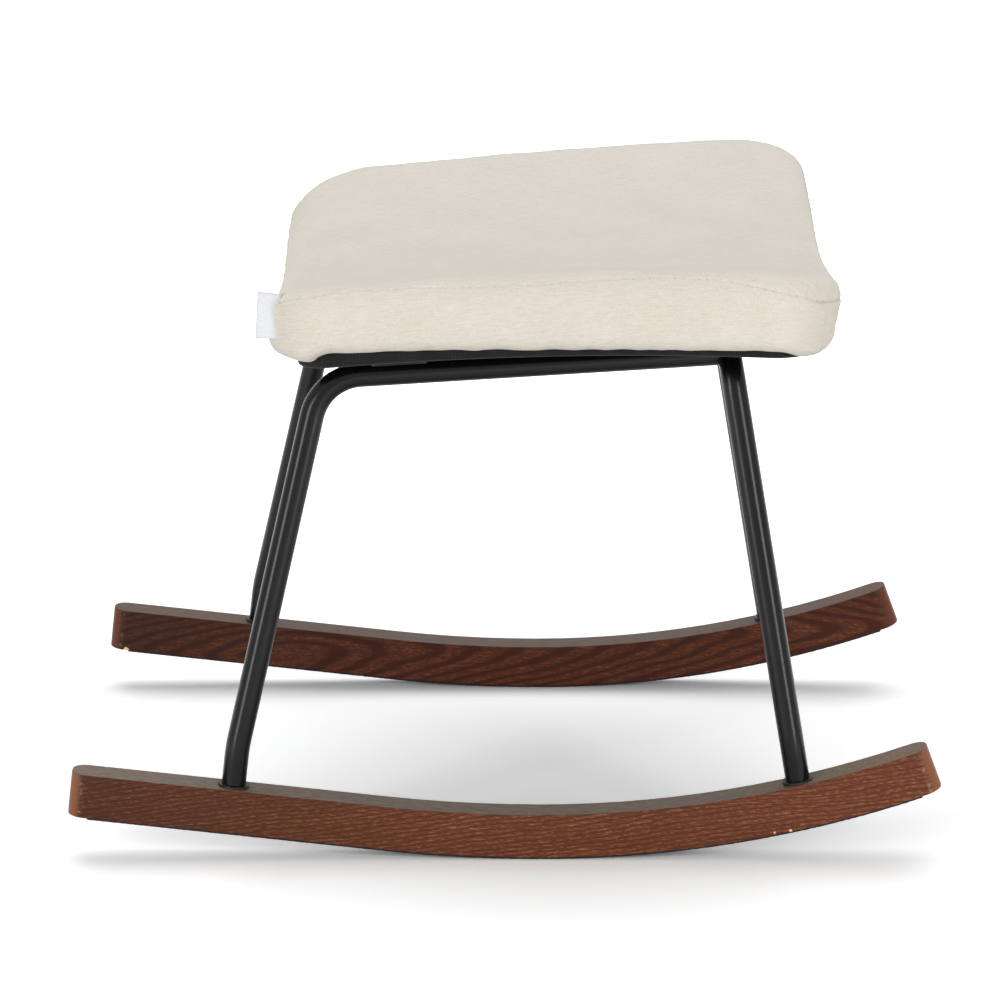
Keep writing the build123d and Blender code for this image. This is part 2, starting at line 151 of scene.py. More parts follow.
def smoothTable(pairs):
    # a smooth curve through (place, value) pairs, level beyond its ends
    xs = np.array([p[0] for p in pairs], float)
    ys = np.array([p[1] for p in pairs], float)
    slopes = np.gradient(ys, xs)

    def read(x):
        x = np.clip(np.asarray(x, float), xs[0], xs[-1])
        k = np.clip(np.searchsorted(xs, x) - 1, 0, len(xs) - 2)
        step = xs[k + 1] - xs[k]
        t = (x - xs[k]) / step
        rise = ys[k + 1] - ys[k]
        a = slopes[k] * step - rise
        b = rise - slopes[k + 1] * step
        return ys[k] + t * rise + t * (1 - t) * (a * (1 - t) + b * t)

    return read


# camera, floor and lights

view = {"place": (-0.0031, -3.726, 1.1562), "pitch": 75.6, "lens": 191.95, "sensor": 36.0}
light = {
    "ambient": 0.33,
    # the floor looks floorGain times as pale as it lights the stool, and glows white beyond paleFrom
    "floorColour": 0.60, "floorGain": 2.25, "floorHalf": 9.0, "paleFrom": 0.5, "paleTo": 1.3, "paleGlow": 0.8,
    "lamps": (
        ("leftStrip", (-1.12, -1.30, 0.47), (0.36, 0.84), 11.5, (1.0, 0.985, 0.97)),
        ("rightStrip", (1.02, -1.42, 0.47), (0.36, 0.84), 11.3, (1.0, 0.985, 0.97)),
        ("topBox", (0.05, 0.95, 2.65), (3.2, 2.6), 56, (0.96, 0.98, 1.0)),
    ),
    "aim": (0.03, 0.0, 0.26),
}


def buildStage():
    camera = bpy.data.cameras.new("camera")
    camera.lens = view["lens"]
    camera.sensor_width = view["sensor"]
    holder = bpy.data.objects.new("camera", camera)
    holder.location = view["place"]
    holder.rotation_euler = (math.radians(view["pitch"]), 0, 0)
    scene = bpy.context.scene
    scene.collection.objects.link(holder)
    scene.camera = holder
    scene.view_settings.view_transform = "Standard"

    for name, place, size, power, colour in light["lamps"]:
        lamp = bpy.data.lights.new(name, "AREA")
        lamp.shape = "RECTANGLE"
        lamp.size, lamp.size_y = size
        lamp.energy = power
        lamp.color = colour
        body = bpy.data.objects.new(name, lamp)
        body.location = place
        aim = Vector(light["aim"]) - Vector(place)
        body.rotation_euler = aim.to_track_quat("-Z", "Y").to_euler()
        scene.collection.objects.link(body)

    world = bpy.data.worlds.new("studio")
    scene.world = world
    world.use_nodes = True
    tree = world.node_tree
    background = tree.nodes["Background"]
    tree.links.new(spread(tree, seenRay(tree), 0, 1, light["ambient"], 1.0), background.inputs["Strength"])
    background.inputs["Color"].default_value = (1, 1, 1, 1)

    half, pale = light["floorHalf"], light["floorColour"]
    floor = bpy.data.meshes.new("floor")
    corners = [(-half, -half, 0), (half, -half, 0), (half, half, 0), (-half, half, 0)]
    floor.from_pydata(corners, [], [(0, 1, 2, 3)])
    material, tree, shader = newMaterial("paleFloor", (pale, pale, pale), 0.9, 0.1)
    seen = seenRay(tree)
    tree.links.new(spread(tree, seen, 0, 1, pale, pale * light["floorGain"]), shader.inputs["Base Color"])
    away = distanceTo(tree, objectPlace(tree), (0, 0, 0))
    glow = spread(tree, away, light["paleFrom"], light["paleTo"], 0.0, light["paleGlow"])
    shader.inputs["Emission Color"].default_value = (1, 1, 1, 1)
    tree.links.new(calc(tree, "MULTIPLY", seen, glow), shader.inputs["Emission Strength"])
    floor.materials.append(material)
    ground = bpy.data.objects.new("floor", floor)
    scene.collection.objects.link(ground)


buildStage()
print("stage: camera, floor and lamps are up")


# stained ash of the rockers

ash = {
    "dark": (0.052, 0.0140, 0.0062),
    "middle": (0.150, 0.0440, 0.0185),
    "light": (0.370, 0.170, 0.085),
    # lighter brown for the rounded ends, part wear and part painted light
    "wornAndLitEnd": (0.262, 0.105, 0.052),
    # pale rub marks with painted glints at the end corners
    "rubAndGlint": (0.50, 0.34, 0.24),
    # grey-brown of the painted sheen on the rockers' tops
    "topSheen": (0.205, 0.155, 0.112),
    "chip": (0.85, 0.56, 0.22),
    "roughness": 0.46, "roughnessRange": (0.40, 0.56), "specular": 0.16,
    "ringStart": 0.0006, "sway": 0.017, "jag": 0.0013,  # metres by which the rings wander, slowly and finely
    "fibreScale": (45, 1300, 1300), "fleckScale": (250, 1900, 1900), "threadScale": (38, 900, 900),
    "broadScale": (7, 60, 60), "bareScale": (85, 900, 900), "rubAndGlintScale": (150, 150, 210),
    "rearTip": -0.29, "middleX": -0.04, "frontTip": 0.28,
    "chipEdge": 0.0004, "chipRagged": 0.0030,
}


def growthRings(tree, place, parts, heart, ringPitch, climb, lean):
    # rings round a line that runs along the plank; heart is a point of that line
    x = calc(tree, "SUBTRACT", parts.outputs["X"], heart[0])
    y = calc(tree, "SUBTRACT", parts.outputs["Y"], heart[1])
    z = calc(tree, "SUBTRACT", parts.outputs["Z"], heart[2])
    z = calc(tree, "SUBTRACT", z, calc(tree, "MULTIPLY", x, lean))
    away = calc(tree, "SQRT", calc(tree, "ADD", calc(tree, "MULTIPLY", y, y), calc(tree, "MULTIPLY", z, z)))
    along = calc(tree, "SQRT", calc(tree, "MULTIPLY_ADD", x, x, ash["ringStart"]))
    ring = calc(tree, "ADD", away, calc(tree, "MULTIPLY", along, climb))
    sway = noise(tree, stretched(tree, place, (7, 20, 34)), 1.0, 3.0)
    ring = calc(tree, "ADD", ring, calc(tree, "MULTIPLY", sway, ash["sway"]))
    jag = noise(tree, stretched(tree, place, (150, 500, 500)), 1.0, 3.0)
    ring = calc(tree, "ADD", ring, calc(tree, "MULTIPLY", jag, ash["jag"]))
    return calc(tree, "FRACT", calc(tree, "DIVIDE", ring, ringPitch))


def wearSheenAndShadeOnFaces(tree, place, colour):
    # the tops are greyer with painted sheen; the rounded ends are a plainer, lighter brown, part wear and
    # part painted light, with rub marks and painted glints; painted shade darkens the underside
    normal = addNode(tree, "SeparateXYZ", sources={"Vector": addNode(tree, "NewGeometry").outputs["Normal"]})
    side = calc(tree, "ABSOLUTE", normal.outputs["Y"])
    front = calc(tree, "ABSOLUTE", normal.outputs["X"])
    # painted sheen: faces turned up take a grey-brown, as a grazing reflection shows them
    facingUp = spread(tree, normal.outputs["Z"], 0.78, 0.94)
    bare = noise(tree, stretched(tree, place, ash["bareScale"], (1, 8, 2)), 1.0, 4.0, 0.7)
    sheenGrey = blendColours(tree, spread(tree, bare, 0.36, 0.58), dimmed(ash["topSheen"], 0.42), ash["topSheen"])
    colour = blendColours(tree, calc(tree, "MULTIPLY", facingUp, 0.9), colour, sheenGrey)
    # the rounded ends turn a lighter, plainer brown: part wear, part painted light
    ends = spread(tree, front, 0.25, 0.60)
    colour = blendColours(tree, calc(tree, "MULTIPLY", ends, 0.85), colour, ash["wornAndLitEnd"])
    # pale rub marks with painted glints where the face turns into the rounded end
    turning = spread(tree, front, 0.34, 0.46, 1.0, 0.0)
    turning = calc(tree, "MULTIPLY", spread(tree, front, 0.16, 0.24), turning)
    rubAndGlintSpots = spread(tree, noise(tree, stretched(tree, place, ash["rubAndGlintScale"]), 1.0, 4.0), 0.55, 0.64)
    corner = calc(tree, "MULTIPLY", calc(tree, "MULTIPLY", turning, rubAndGlintSpots), spread(tree, side, 0.6, 0.8))
    colour = blendColours(tree, calc(tree, "MULTIPLY", corner, 0.4), colour, ash["rubAndGlint"])
    # painted shade: faces turned downwards are darkened almost to black
    under = spread(tree, normal.outputs["Z"], -0.75, -0.25, 0.75, 0.0)
    return blendColours(tree, under, colour, dimmed(ash["dark"], 0.3))


def ashMaterial(name, heart, ringPitch, climb, lean, lateShare, lateDepth, tones, shade, chips):
    made, tree, shader = newMaterial(name, ash["middle"], ash["roughness"], ash["specular"])
    place = objectPlace(tree)
    parts = addNode(tree, "SeparateXYZ", sources={"Vector": place})
    turn = growthRings(tree, place, parts, heart, ringPitch, climb, lean)
    late = spread(tree, turn, lateShare, lateShare + 0.08, 1.0, 0.0)
    late = calc(tree, "MULTIPLY", spread(tree, turn, 0.0, 0.06), late)
    early = spread(tree, turn, lateShare + 0.05, lateShare + 0.2)
    early = calc(tree, "MULTIPLY", early, spread(tree, turn, 0.85, 1.0, 1.0, 0.35))
    fibres = noise(tree, stretched(tree, place, ash["fibreScale"]), 1.0, 4.0, 0.65)
    flecks = noise(tree, stretched(tree, place, ash["fleckScale"], (3, 1, 7)), 1.0, 3.0, 0.6)
    threads = noise(tree, stretched(tree, place, ash["threadScale"], (6, 2, 4)), 1.0, 2.0)
    broad = noise(tree, stretched(tree, place, ash["broadScale"], (5, 2, 1)), 1.0, 2.0)

    colour = blendColours(tree, spread(tree, fibres, 0.25, 0.58, 0.5, 1.0), ash["dark"], ash["middle"])
    colour = blendColours(tree, calc(tree, "MULTIPLY", late, lateDepth), colour, ash["dark"])
    fleck = calc(tree, "MULTIPLY_ADD", early, 0.72, 0.04)
    fleck = calc(tree, "MULTIPLY", spread(tree, flecks, 0.50, 0.66), fleck)
    colour = blendColours(tree, fleck, colour, ash["light"])
    thread = spread(tree, threads, 0.57, 0.70, 0.0, 0.6)
    thread = calc(tree, "MULTIPLY", thread, spread(tree, flecks, 0.36, 0.56))
    colour = blendColours(tree, calc(tree, "MULTIPLY", thread, early), colour, ash["light"])
    dots = calc(tree, "MULTIPLY", spread(tree, flecks, 0.30, 0.42, 0.30, 0.0), early)
    colour = blendColours(tree, dots, colour, ash["dark"])
    colour = blendColours(tree, spread(tree, broad, 0.35, 0.65, 0.0, 0.25), colour, ash["dark"])
    x = parts.outputs["X"]
    rearTone = spread(tree, x, ash["rearTip"], ash["middleX"], tones[0], tones[1])
    frontTone = spread(tree, x, ash["middleX"], ash["frontTip"], 0.0, tones[2] - tones[1])
    colour = blendColours(tree, 1.0, colour, calc(tree, "ADD", rearTone, frontTone), "MULTIPLY")
    colour = wearSheenAndShadeOnFaces(tree, place, colour)
    # painted shade: shade multiplies the whole colour, darkening the far rocker as if it stood in shadow
    colour = blendColours(tree, 1.0, colour, shade, "MULTIPLY")
    for spot, size in chips:
        ragged = calc(tree, "MULTIPLY", noise(tree, place, 900, 4.0, 0.7), ash["chipRagged"])
        gap = calc(tree, "ADD", distanceTo(tree, place, spot), ragged)
        bare = spread(tree, gap, size, size + ash["chipEdge"], 1.0, 0.0)
        colour = blendColours(tree, bare, colour, ash["chip"])
    tree.links.new(colour, shader.inputs["Base Color"])
    tree.links.new(spread(tree, fibres, 0.2, 0.8, *ash["roughnessRange"]), shader.inputs["Roughness"])
    height = calc(tree, "ADD", calc(tree, "MULTIPLY", fibres, 0.5), calc(tree, "MULTIPLY", flecks, 0.5))
    addBump(tree, shader, height, 0.30, 0.0004)
    return made


# chips: (place, size) of spots where the stain has come off; tones: rear tip, middle, front tip; shade:
# painted shade over the whole rocker, deep on the far one
rockerLooks = {
    "right_rocker": {
        "heart": (0.0, -0.215, -0.16), "ringPitch": 0.0033, "climb": 0.0, "lean": 0.13,
        "lateShare": 0.22, "lateDepth": 0.42, "tones": (0.50, 0.95, 1.04), "shade": (1.0, 0.97, 0.95),
        "chips": (((0.1973, -0.2226, 0.0212), 0.0024), ((0.1862, -0.2229, 0.0200), 0.0020)),
    },
    "left_rocker": {
        "heart": (-0.158, 0.207, 0.026), "ringPitch": 0.0068, "climb": 0.21, "lean": 0.05,
        # painted shade: the far rocker is darkened as if it stood in shadow
        "lateShare": 0.34, "lateDepth": 0.62, "tones": (0.55, 1.02, 1.05), "shade": (0.55, 0.43, 0.38),
        "chips": (((-0.2893, 0.1972, 0.0305), 0.0034),),
    },
}
for nodeName, look in rockerLooks.items():
    dress(nodeName, ashMaterial("ash_" + nodeName, **look))
print("wood: both rockers are stained")


# powder coat, collars, hardware and the black cloth

looks = {
    "coat": {
        "colour": (0.0022, 0.0024, 0.0030), "speck": (0.02, 0.02, 0.022), "specular": 0.22,
        "roughness": 0.25, "roughnessRange": (0.23, 0.27), "peelScale": 900, "speckScale": 420,
    },
    "moulded": {
        "colour": (0.010, 0.010, 0.011), "specular": 0.4, "roughness": 0.45, "roughnessRange": (0.38, 0.52),
        "grainScale": 2400,
    },
    "zinc": {
        "colour": (0.55, 0.55, 0.53), "dark": (0.42, 0.42, 0.40), "pale": (0.66, 0.66, 0.63),
        "roughness": 0.35, "roughnessRange": (0.28, 0.44), "cloudScale": 260,
    },
    "cloth": {
        "colour": (0.0085, 0.0085, 0.0085), "ground": (0.008, 0.008, 0.008), "dot": (0.026, 0.026, 0.026),
        "fuzzScale": 1600, "boardPitch": 0.0021, "dustPitch": 0.0028,
    },
    "felt": {
        "colour": (0.017, 0.019, 0.028), "dark": (0.008, 0.009, 0.015), "pale": (0.045, 0.050, 0.075),
        "fuzzScale": 1500,
    },
}


def powderCoat():
    look = looks["coat"]
    made, tree, shader = newMaterial("powderCoat", look["colour"], look["roughness"], look["specular"])
    place = objectPlace(tree)
    peel = noise(tree, place, look["peelScale"], 2.0)
    speck = spread(tree, noise(tree, place, look["speckScale"], 1.0), 0.74, 0.78)
    colour = blendColours(tree, calc(tree, "MULTIPLY", speck, 0.5), look["colour"], look["speck"])
    tree.links.new(colour, shader.inputs["Base Color"])
    dull = spread(tree, noise(tree, place, 14, 2.0), 0.3, 0.7, *look["roughnessRange"])
    tree.links.new(dull, shader.inputs["Roughness"])
    addBump(tree, shader, peel, 0.08, 0.0002)
    return made


def mouldedBlack():
    look = looks["moulded"]
    made, tree, shader = newMaterial("mouldedBlack", look["colour"], look["roughness"], look["specular"])
    grain = noise(tree, objectPlace(tree), look["grainScale"], 2.0)
    tree.links.new(spread(tree, grain, 0.3, 0.7, *look["roughnessRange"]), shader.inputs["Roughness"])
    addBump(tree, shader, grain, 0.2, 0.0001)
    return made


def zincPlate():
    look = looks["zinc"]
    made, tree, shader = newMaterial("zincPlate", look["colour"], look["roughness"])
    shader.inputs["Metallic"].default_value = 1.0
    cloud = noise(tree, objectPlace(tree), look["cloudScale"], 3.0)
    colour = blendColours(tree, spread(tree, cloud, 0.3, 0.7), look["dark"], look["pale"])
    tree.links.new(colour, shader.inputs["Base Color"])
    tree.links.new(spread(tree, cloud, 0.3, 0.7, *look["roughnessRange"]), shader.inputs["Roughness"])
    return made


def blackCloth(name, pitch):
    # spun cloth with a faint grid of pressed dots
    look = looks["cloth"]
    made, tree, shader = newMaterial(name, look["colour"], 0.88, 0.2, 0.15)
    place = objectPlace(tree)
    dots = addNode(tree, "TexVoronoi", {"Scale": 1 / pitch, "Randomness": 0.15}, {"Vector": place})
    dot = spread(tree, dots.outputs["Distance"], 0.18, 0.34, 1.0, 0.0)
    fuzz = noise(tree, place, look["fuzzScale"], 3.0)
    colour = blendColours(tree, calc(tree, "MULTIPLY", dot, 0.7), look["ground"], look["dot"])
    tree.links.new(colour, shader.inputs["Base Color"])
    addBump(tree, shader, calc(tree, "SUBTRACT", fuzz, dot), 0.4, 0.0003)
    return made


def darkFelt():
    look = looks["felt"]
    made, tree, shader = newMaterial("darkFelt", look["colour"], 0.95, 0.1, 0.25)
    fuzz = noise(tree, objectPlace(tree), look["fuzzScale"], 4.0, 0.7)
    colour = blendColours(tree, spread(tree, fuzz, 0.35, 0.7), look["dark"], look["pale"])
    tree.links.new(colour, shader.inputs["Base Color"])
    addBump(tree, shader, fuzz, 0.8, 0.0006)
    return made


coat, moulded, zinc = powderCoat(), mouldedBlack(), zincPlate()
boardCloth = blackCloth("boardCloth", looks["cloth"]["boardPitch"])
dustCloth = blackCloth("dustCloth", looks["cloth"]["dustPitch"])
felt = darkFelt()
finishes = {
    "frame_black": coat, "collar_black": moulded, "zinc_hardware": zinc, "board_black": boardCloth,
    "dust_cloth": dustCloth, "underside_felt": felt,
}
for row in frame["record"]["subparts"]:
    finish = finishes.get(row.get("material_slot"))
    if finish:
        dress(row["node"], finish)
print("frame: powder coat, collars, bolts and cloth are dressed")


# felt under the rockers, fuzzy where it shows near the tips

feltStrip = {
    "from": -288.0, "to": 288.0, "fromMiddle": 210.0, "width": 21.0, "thickness": 1.5, "steps": 420,
    "looseEdge": 0.35, "looseFace": 0.5, "floorGap": 0.02, "glueDepth": 0.1,
    "hairs": 900, "hairLength": (0.5, 1.5), "hairWidth": 0.16, "hairRoot": 0.7, "hairFloor": 0.15,
    "hairAlong": (-0.9, 0.9), "hairOut": (0.2, 1.0), "hairUp": (-0.8, 0.2),
    "restingX": 25.0, "rearRadius": 1000.0, "frontRadius": 800.0, "rearRise": 6.3,
}


def rockingLine(x, lift):
    # height of the line that runs parallel to the rocking line, lift above it
    strip, rise = feltStrip, math.radians(feltStrip["rearRise"])
    away = np.asarray(x, float) - strip["restingX"]
    bend = -(strip["rearRadius"] - lift) * math.sin(rise)
    front = strip["frontRadius"] - np.sqrt((strip["frontRadius"] - lift) ** 2 - np.maximum(away, 0) ** 2)
    curve = np.clip(away, bend, 0)
    rear = strip["rearRadius"] - np.sqrt((strip["rearRadius"] - lift) ** 2 - curve**2)
    return np.where(away > 0, front, rear + np.maximum(bend - away, 0) * math.tan(rise))


def buildFelt(name, side, node, seed):
    strip = feltStrip
    middle = side * strip["fromMiddle"]
    chance = np.random.default_rng(seed)
    xs = np.linspace(strip["from"], strip["to"], strip["steps"])
    loose = np.array([strip["looseEdge"] * chance.random(strip["steps"]) for _ in range(3)])
    half = strip["width"] / 2
    points, faces = [], []
    for i, x in enumerate(xs):
        low = rockingLine(x, strip["floorGap"] + strip["looseFace"] * loose[2, i])
        high = rockingLine(x, strip["thickness"] + strip["glueDepth"])
        for y, z in ((-half - loose[0, i], low), (half + loose[1, i], low), (half, high), (-half, high)):
            points.append((x * mm, (middle + y) * mm, z * mm))
    for i in range(strip["steps"] - 1):
        a, b = 4 * i, 4 * i + 4
        for k in range(4):
            faces.append((a + k, a + (k + 1) % 4, b + (k + 1) % 4, b + k))
    faces.append((3, 2, 1, 0))
    last = 4 * (strip["steps"] - 1)
    faces.append((last, last + 1, last + 2, last + 3))
    shortest, longest = strip["hairLength"]
    for k in range(strip["hairs"]):
        edge = -1 if k % 2 else 1
        x = chance.uniform(strip["from"], strip["to"])
        length = shortest + (longest - shortest) * chance.random() ** 2
        along, out, up = (chance.uniform(*strip[key]) for key in ("hairAlong", "hairOut", "hairUp"))
        root = np.array([x, middle + edge * (half - strip["glueDepth"]), rockingLine(x, strip["hairRoot"])])
        tip = root + length * np.array([along, edge * out, up])
        tip[2] = max(tip[2], strip["hairFloor"])
        first = len(points)
        for spot in (root - (strip["hairWidth"], 0, 0), root + (strip["hairWidth"], 0, 0), tip):
            points.append(tuple(spot * mm))
        faces.append((first, first + 1, first + 2))
    piece = makePiece(name, points, faces, felt)
    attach(piece, "root")
    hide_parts(node)


buildFelt("rightFelt", -1, "right_felt_strip", 3)
buildFelt("leftFelt", 1, "left_felt_strip", 5)
print("felt: strips and their fuzz are glued on")


# cushion

seat = {
    "x": 34.4, "height": 353.9, "tilt": 2.3,
    "length": 388.0, "rearWidth": 434.0, "frontWidth": 498.0,
    "rearCorner": 42.0, "frontCorner": 45.0, "sideDraw": 3.0, "leftDraw": 0.015,
    "around": 640, "cornerPoints": 60, "sidePoints": 122,
}
cushion = {
    # heights above the underside of the board: (place along the seat, height)
    "rightLip": (
        (-194, 55.5), (-180, 56.4), (-169, 56.4), (-150, 56.8), (-132, 57.4), (-99, 59.4), (-41, 61.4),
        (2, 62.8), (55, 63.2), (107, 61.4), (134, 59.8), (165, 57), (180, 56.5), (194, 56),
    ),
    "leftLip": (
        (-194, 38), (-186, 43), (-175, 48.5), (-164, 53), (-152, 56.5), (-141, 59), (-130, 60.5),
        (-107, 61.8), (-73, 63.9), (-39, 66), (6, 67), (73, 67.3), (107, 67.2), (141, 65.9), (153, 64.5),
        (164, 63.2), (175, 62.3), (186, 62.2), (194, 62.0),
    ),
    "valley": ((-191, 27), (-175, 31.5), (-150, 34), (0, 36.5), (130, 37), (165, 34.5), (191, 29)),
    "bottom": (
        (-194, 1.2), (-182, 0.6), (-172, 1.0), (-165, 4.4), (-158, 6.2), (-143, 6.7), (-105, 7.2),
        (-48, 6.2), (2, 5.1), (48, 4.2), (110, 3.0), (137, 2.4), (161, -0.6), (176, -4.0), (191, -4.0),
    ),
    # along the seat: the shoulder's share of the wall, how square it is, and the seam's depth below the rim
    "shoulderShare": ((-194, 0.30), (60, 0.30), (115, 0.30), (150, 0.32), (175, 0.35), (194, 0.36)),
    "shoulderPower": ((-194, 2.0), (60, 2.0), (110, 2.0), (150, 2.5), (175, 3.4), (194, 3.8)),
    "seamDrop": (
        (-186, 9.3), (-168, 8.4), (-152, 6.7), (-103, 6.7), (-53, 8.0), (-8, 8.4), (55, 7.4), (107, 7.6),
        (134, 9.8), (152, 12.8), (163, 14.2), (171, 16.2), (184, 19.4), (194, 20.2),
    ),
    "shoulderReach": 25.0, "seamLimit": 0.9,
    # the walls draw in downwards; both end walls lean to the rear
    "taper": 0.07, "frontTaper": 0.145, "rearTaper": 0.09, "footHeight": 12.6,
    "seamDepth": 0.5, "seamWidth": 0.9, "seamBand": 3.6, "cornerDepth": 2.2, "cornerReach": 15.0,
    # small forms of the cloth: (height, distance from the seam or from the corner's seam, width)
    "puff": (0.22, 2.4, 1.3), "crease": (-0.32, -5.6, 1.1), "creasePace": 61.0,
    "upright": (-0.95, 0.0, 1.0), "swell": (0.35, 3.2, 1.8),
    # slow waves: (height, length, seed)
    "sideWaves": ((0.42, 62.0, 1.3), (0.16, 19.0, 4.1)), "sideStretch": 2.2, "topWave": (0.42, 118.0, 2.2),
    # the forms fade over so many millimetres at the seam, foot and top, and over rimFade of the top itself
    "seamFade": 4.0, "uprightFade": 6.0, "waveFade": 8.0, "topFade": 9.0, "rimFade": 1 / 6,
    "staplePitch": 27.0, "stapleLift": 1.0, "stapleWidth": (6.0, 11.0), "stapleEnd": 186.0,
    "tuck": 16.6, "boardTop": 12.4, "archRadius": 2700.0,
    "cornerSeams": ((-1, -1, 12), (-1, 1, 12), (1, -1, 38), (1, 1, 38)),
    # rows of the section as it is drawn, then rows of the mesh
    "shoulderRows": 72, "wallRows": 60, "footRows": 30,
    "topRings": 52, "innermost": 0.02, "shoulderSteps": 9, "seamSteps": 22, "wallSteps": 40,
    "edgeShares": (0.33, 0.66, 1.0), "underShares": (0.94, 0.8, 0.6, 0.4, 0.2, 0.03),
    # where the walls and the turned edge lie on the flat cloth, away from the top
    "wallLay": 500, "edgeLay": 700,
}
tiltAngle = math.radians(seat["tilt"])


def onSeat(u, y, w):
    # from the leaning seat, in millimetres, to the scene, in metres
    c, s = math.cos(tiltAngle), math.sin(tiltAngle)
    return np.stack([
        (seat["x"] + u * c - w * s) * mm, y * mm, (seat["height"] + u * s + w * c) * mm,
    ], axis=-1)


def cornerCentre(endSide, widthSide):
    half = seat["length"] / 2
    middle = (seat["rearWidth"] + seat["frontWidth"]) / 4
    slope = (seat["frontWidth"] - seat["rearWidth"]) / 2 / seat["length"]
    radius = seat["frontCorner"] if endSide > 0 else seat["rearCorner"]
    u = endSide * (half - radius)
    return u, widthSide * (middle + slope * u - radius * math.hypot(1, slope)), radius, slope


def seatOutline():
    # points round the seat with their outward directions, evenly spaced
    places, ways, draws = [], [], []
    order = ((-1, -1), (1, -1), (1, 1), (-1, 1))
    for k, (endSide, widthSide) in enumerate(order):
        u, y, radius, slope = cornerCentre(endSide, widthSide)
        sideWay = math.atan2(widthSide, -slope)
        endWay = 0.0 if endSide > 0 else math.pi
        first, last = (endWay, sideWay) if k in (0, 2) else (sideWay, endWay)
        turn = (last - first + math.pi) % (2 * math.pi) - math.pi
        for t in np.linspace(0, 1, seat["cornerPoints"]):
            angle = first + turn * t
            way = (math.cos(angle), math.sin(angle))
            places.append((u + radius * way[0], y + radius * way[1]))
            ways.append(way)
            draws.append(0.0)
        nextEnd, nextWidth = order[(k + 1) % 4]
        u2, y2, radius2, slope = cornerCentre(nextEnd, nextWidth)
        way = np.array([math.cos(last), math.sin(last)])
        start = np.array([u, y]) + radius * way
        stop = np.array([u2, y2]) + radius2 * way
        for t in np.linspace(0, 1, seat["sidePoints"])[1:-1]:
            places.append(tuple(start + (stop - start) * t))
            ways.append(tuple(way))
            draws.append(seat["sideDraw"] * math.sin(math.pi * t) ** 2)
    places, ways = np.array(places), np.array(ways)
    places = places - ways * np.array(draws)[:, None]
    ring = np.vstack([places, places[:1]])
    length = np.concatenate([[0], np.cumsum(np.linalg.norm(np.diff(ring, axis=0), axis=1))])
    even = np.linspace(0, length[-1], seat["around"], endpoint=False)
    ways = np.vstack([ways, ways[:1]])
    point = np.stack([np.interp(even, length, ring[:, i]) for i in (0, 1)], axis=1)
    way = np.stack([np.interp(even, length, ways[:, i]) for i in (0, 1)], axis=1)
    # the left side is a little shorter than the right
    point[:, 0] *= 1 - seat["leftDraw"] * np.clip(point[:, 1] / seat["frontWidth"] * 2, 0, 1) ** 2
    return point, way / np.linalg.norm(way, axis=1)[:, None], even, length[-1]


rightLip, leftLip = smoothTable(cushion["rightLip"]), smoothTable(cushion["leftLip"])
valley, bottomEdge = smoothTable(cushion["valley"]), smoothTable(cushion["bottom"])
shoulderShare, seamFall = smoothTable(cushion["shoulderShare"]), smoothTable(cushion["seamDrop"])
shoulderPower = smoothTable(cushion["shoulderPower"])


def saddle(u, y):
    # the sharp-edged top that the shoulder then rounds off
    half = (seat["rearWidth"] + seat["frontWidth"]) / 4
    half = half + (seat["frontWidth"] - seat["rearWidth"]) / 2 * u / seat["length"]
    across = np.clip(y / half, -1, 1)
    weight = 0.5 + 0.5 * np.sin(across * math.pi / 2)
    lip = rightLip(u) * (1 - weight) + leftLip(u) * weight
    return valley(u) + (lip - valley(u)) * across**2


def ripple(a, b, size, seed):
    # slow unevenness of a stuffed surface, the same on every run
    total = 0.0
    for k in range(5):
        angle = seed + 2.4 * k
        wave = (a * math.cos(angle) + b * math.sin(angle)) / size * (1 + 0.37 * k)
        total = total + np.sin(wave * 2 * math.pi + seed * 3.1 + k * 1.7) / (1 + 0.5 * k)
    return total / 2.4


def stapleLifts(along):
    # each staple draws the lower edge up a little; no two are set quite alike
    chance = np.random.default_rng(11)
    place, lift = 0.0, np.zeros_like(along)
    narrow, wide = cushion["stapleWidth"]
    while place < along[-1]:
        width = narrow + (wide - narrow) * chance.random()
        size = cushion["stapleLift"] * (0.35 + 0.65 * chance.random())
        lift = np.maximum(lift, size * np.exp(-((along - place) / width) ** 2))
        place += cushion["staplePitch"] * (0.55 + 0.9 * chance.random())
    return lift


def sectionRows(point, way, along):
    # from the inner edge of the shoulder over the seam, down the side and under to the board
    u, y = point[:, 0], point[:, 1]
    top = saddle(u, y)
    low = bottomEdge(u) + stapleLifts(along) * np.clip((cushion["stapleEnd"] - np.abs(u)) / 30, 0.1, 1)
    drop, power = shoulderShare(u) * (top - low), shoulderPower(u)
    rows = []
    for k in range(cushion["shoulderRows"] + 1):
        q = math.sin(k / cushion["shoulderRows"] * math.pi / 2)
        inset = cushion["shoulderReach"] * (1 - q)
        here = point - way * inset
        fall = drop * (1 - (1 - q**power) ** (1 / power))
        rows.append((np.full_like(u, inset), saddle(here[:, 0], here[:, 1]) - fall))
    wallTop, wallFoot = top - drop, low + cushion["footHeight"]
    endTaper = np.where(way[:, 0] > 0, cushion["frontTaper"], cushion["rearTaper"])
    taper = cushion["taper"] + endTaper * way[:, 0]
    for k in range(1, cushion["wallRows"] + 1):
        height = wallTop + (wallFoot - wallTop) * (k / cushion["wallRows"])
        rows.append((taper * (wallTop - height), height))
    # the rounded foot turns under to the board
    foot = taper * (wallTop - wallFoot)
    for k in range(1, cushion["footRows"] + 1):
        angle = k / cushion["footRows"] * math.pi / 2
        inset = foot + (cushion["tuck"] - foot) * (1 - math.cos(angle))
        rows.append((inset, wallFoot - cushion["footHeight"] * math.sin(angle)))
    return np.array([r[0] for r in rows]), np.array([r[1] for r in rows]), top, drop


